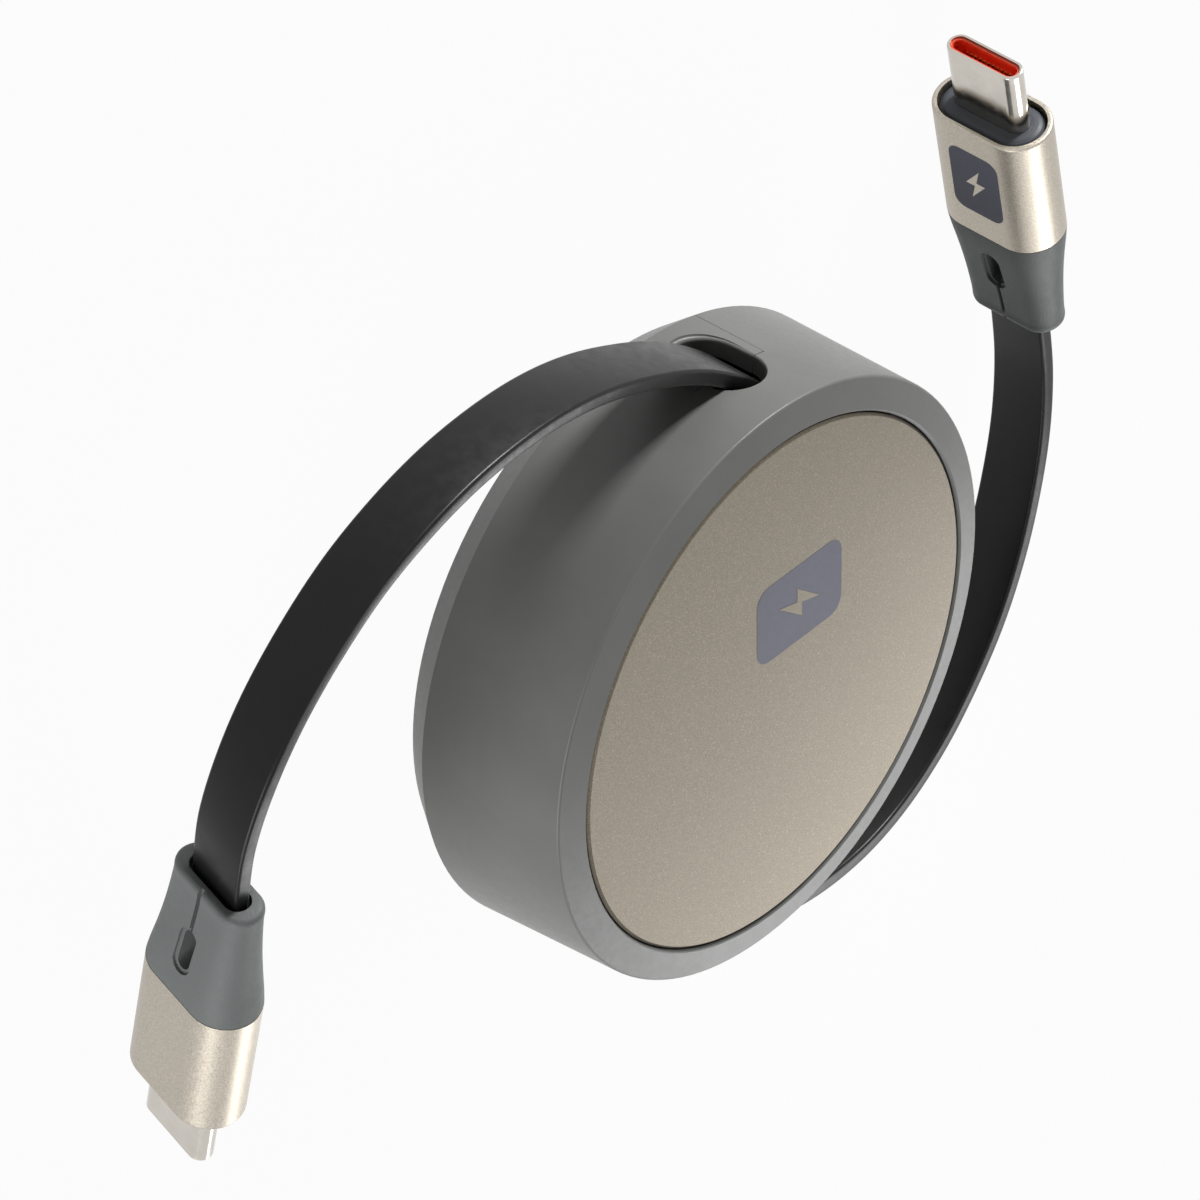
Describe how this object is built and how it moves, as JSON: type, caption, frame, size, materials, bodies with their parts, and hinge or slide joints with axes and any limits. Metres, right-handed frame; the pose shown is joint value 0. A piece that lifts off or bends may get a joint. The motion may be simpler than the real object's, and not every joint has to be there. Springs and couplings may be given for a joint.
{
  "type": "retractable charging cable",
  "caption": "Round sprung-reel case with a metal face plate; a flat charging lead with a USB-C plug leaves it on each side through a slot in the wall.",
  "frame": {"origin": "centre of the case's rear face, which the case lies on", "axes": "+Z along the case's axis, out of the face plate; the leads leave the case along -X and +X"},
  "size_m": [0.1169, 0.1205, 0.0192],
  "materials": {
    "case_grey": "fine matte moulded plastic, warm grey",
    "plate_champagne": "bead-blasted anodised aluminium, champagne",
    "tape_dark": "black adhesive foam",
    "steel_bright": "turned steel",
    "spool_white": "natural acetal",
    "spring_blue": "blued spring steel",
    "lead_black": "matte flat cable sheath, near black",
    "shell_nickel": "nickel plated steel",
    "insert_orange": "orange-red moulded plastic",
    "contact_gold": "gold plated",
    "collar_dark": "dark grey moulded plastic",
    "sleeve_champagne": "satin anodised aluminium, pale champagne",
    "boot_grey": "matte soft moulding, blue-grey",
    "board_green": "lacquered circuit board"
  },
  "bodies": {
    "case": {"front_shell": "case_grey", "rear_cover": "case_grey", "face_plate": "plate_champagne", "plate_tape": "tape_dark", "spindle": "steel_bright", "spindle_screw": "steel_bright", "lower_washer": "steel_bright", "upper_washer": "steel_bright", "power_spring": "spring_blue", "pawl_pin": "steel_bright", "pawl_spring": "spring_blue", "left_lead": "lead_black", "right_lead": "lead_black", "left_shell": "shell_nickel", "left_insert": "insert_orange", "left_contacts": "contact_gold", "left_collar": "collar_dark", "left_sleeve": "sleeve_champagne", "left_boot": "boot_grey", "left_board": "board_green", "right_shell": "shell_nickel", "right_insert": "insert_orange", "right_contacts": "contact_gold", "right_collar": "collar_dark", "right_sleeve": "sleeve_champagne", "right_boot": "boot_grey", "right_board": "board_green"},
    "spool": {"spool": "spool_white", "spring_lid": "spool_white", "lead_winding": "lead_black"},
    "pawl": {"ratchet_pawl": "spool_white"}
  },
  "joints": [
    {"name": "spool_spin", "type": "hinge", "parent": "case", "child": "spool", "pos_m": [0, 0, 0.0101], "axis": [0, 0, 1], "range_deg": [-210, 1500], "deforming": ["power_spring"]},
    {"name": "pawl_swing", "type": "hinge", "parent": "case", "child": "pawl", "pos_m": [0.0141, -0.0065, 0.01515], "axis": [0, 0, 1], "range_deg": [0, 8.8], "stiffness_Nm_per_rad": 0.0005, "deforming": ["pawl_spring"]}
  ]
}
